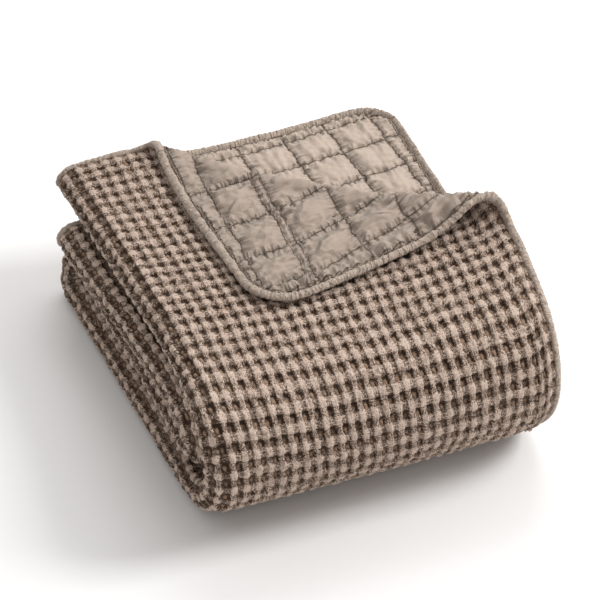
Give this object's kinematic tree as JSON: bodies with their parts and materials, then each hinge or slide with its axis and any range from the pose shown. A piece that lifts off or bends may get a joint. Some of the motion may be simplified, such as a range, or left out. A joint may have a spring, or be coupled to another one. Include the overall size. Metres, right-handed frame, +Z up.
{
  "type": "waffle weave cotton blanket",
  "caption": "Quilted waffle weave cotton throw, bound at its edge, folded into a thick bundle with one corner turned back to show its plain backing.",
  "frame": {"origin": "centre of the folded throw's footprint, on the surface that it lies on", "axes": "+Z up, +X to the right along the rounded front fold, +Y from the front fold to the open back edges"},
  "size_m": [0.3452, 0.4371, 0.1927],
  "materials": {
    "waffle_cotton": "matt chunky waffle weave cotton, washed, taupe",
    "plain_cotton": "matt plain weave cotton, hand quilted and puckered, taupe",
    "binding_cotton": "matt plain weave cotton strip, puckered at its stitch line, taupe"
  },
  "bodies": {
    "root": {"waffle_face": "waffle_cotton", "plain_backing": "plain_cotton", "binding": "binding_cotton"}
  },
  "joints": []
}
